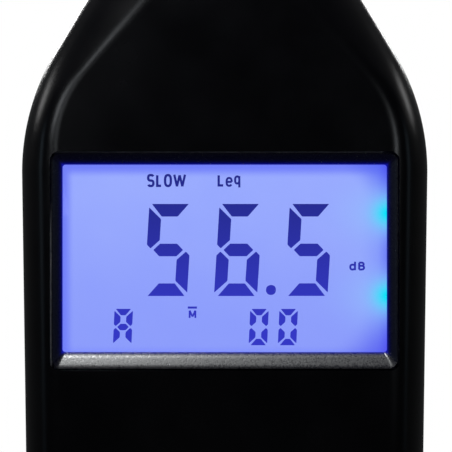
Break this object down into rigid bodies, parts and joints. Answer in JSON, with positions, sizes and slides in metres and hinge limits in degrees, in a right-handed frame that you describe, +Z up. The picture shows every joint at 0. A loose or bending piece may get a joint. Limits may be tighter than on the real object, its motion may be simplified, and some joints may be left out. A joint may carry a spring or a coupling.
{
  "type": "sound level meter",
  "caption": "Handheld sound level meter: narrow neck with a half-inch microphone, lit display, press keys, hinged battery door and tripod thread.",
  "frame": {"origin": "middle of the flat lower end, on the plane it stands on", "axes": "+Z up towards the microphone, -Y out of the display, +X to the right as seen from the front"},
  "size_m": [0.0632, 0.026, 0.236],
  "materials": {
    "black_abs": "finely textured black ABS",
    "bezel_black": "coarser textured black ABS",
    "clear_acrylic": "clear, polished",
    "lcd": "lit blue-violet, polished",
    "white_plastic": "satin",
    "silicone": "matte",
    "keypad_label": "fine-grained printed sheet",
    "key_grey": "satin moulded",
    "key_orange": "satin moulded",
    "circuit_board": "solder mask",
    "chip_black": "matte moulded",
    "steel": "satin",
    "nickel": "nickel plated",
    "brass": "turned",
    "trimmer_blue": "moulded",
    "cell_jacket": null,
    "red_wire": "insulation",
    "black_wire": "insulation",
    "rubber": "matte"
  },
  "bodies": {
    "casing": {"front_case": "black_abs", "rear_case": "black_abs", "display_bezel": "bezel_black", "window_lens": "clear_acrylic", "lcd_glass": "lcd", "lcd_holder": "white_plastic", "light_guide": "white_plastic", "reflector_sheet": "white_plastic", "backlight_led_upper": "white_plastic", "backlight_led_lower": "white_plastic", "mic_insulator": "white_plastic", "key_mat": "silicone", "zebra_strip": "silicone", "keypad_overlay": "keypad_label", "main_board": "circuit_board", "preamp_board": "circuit_board", "microcontroller": "chip_black", "amplifier_chip": "chip_black", "capacitor_left": "chip_black", "capacitor_right": "chip_black", "data_jack": "chip_black", "crystal": "steel", "mic_tube": "steel", "neck_collar": "steel", "case_screw_1": "steel", "case_screw_2": "steel", "case_screw_3": "steel", "case_screw_4": "steel", "board_screw_1": "steel", "board_screw_2": "steel", "board_screw_3": "steel", "mic_capsule": "nickel", "mic_grid": "nickel", "mic_diaphragm": "nickel", "contact_positive": "nickel", "contact_negative": "nickel", "contact_bridge_left": "nickel", "contact_bridge_right": "nickel", "contact_bridge_top": "nickel", "mic_backplate": "brass", "tripod_insert": "brass", "cal_trimmer": "trimmer_blue", "cell_1": "cell_jacket", "cell_2": "cell_jacket", "cell_3": "cell_jacket", "cell_4": "cell_jacket", "battery_lead_red": "red_wire", "battery_lead_black": "black_wire", "mic_cable": "black_wire", "neck_grommet": "rubber"},
    "key_weighting": {"key_weighting": "key_grey"},
    "key_response": {"key_response": "key_grey"},
    "key_mode": {"key_mode": "key_grey"},
    "key_max": {"key_max": "key_grey"},
    "key_light": {"key_light": "key_grey"},
    "key_set": {"key_set": "key_grey"},
    "key_power": {"key_power": "key_orange"},
    "battery_door": {"battery_door": "black_abs"},
    "cal_trimmer_screw": {"cal_trimmer_screw": "brass"}
  },
  "joints": [
    {"name": "key_weighting_press", "type": "slide", "parent": "casing", "child": "key_weighting", "axis": [0, 1, 0], "range_m": [0, 0.0008], "stiffness_N_per_m": 1500},
    {"name": "key_response_press", "type": "slide", "parent": "casing", "child": "key_response", "axis": [0, 1, 0], "range_m": [0, 0.0008], "stiffness_N_per_m": 1500},
    {"name": "key_mode_press", "type": "slide", "parent": "casing", "child": "key_mode", "axis": [0, 1, 0], "range_m": [0, 0.0008], "stiffness_N_per_m": 1500},
    {"name": "key_max_press", "type": "slide", "parent": "casing", "child": "key_max", "axis": [0, 1, 0], "range_m": [0, 0.0008], "stiffness_N_per_m": 1500},
    {"name": "key_light_press", "type": "slide", "parent": "casing", "child": "key_light", "axis": [0, 1, 0], "range_m": [0, 0.0008], "stiffness_N_per_m": 1500},
    {"name": "key_set_press", "type": "slide", "parent": "casing", "child": "key_set", "axis": [0, 1, 0], "range_m": [0, 0.0008], "stiffness_N_per_m": 1500},
    {"name": "key_power_press", "type": "slide", "parent": "casing", "child": "key_power", "axis": [0, 1, 0], "range_m": [0, 0.0008], "stiffness_N_per_m": 1500},
    {"name": "battery_door_hinge", "type": "hinge", "parent": "casing", "child": "battery_door", "pos_m": [0, 0.0114, 0.0134], "axis": [-1, 0, 0], "range_deg": [0, 90]},
    {"name": "cal_trimmer_turn", "type": "hinge", "parent": "casing", "child": "cal_trimmer_screw", "pos_m": [0.0253, 0.0039, 0.104], "axis": [1, 0, 0], "range_deg": [-130, 130]}
  ]
}
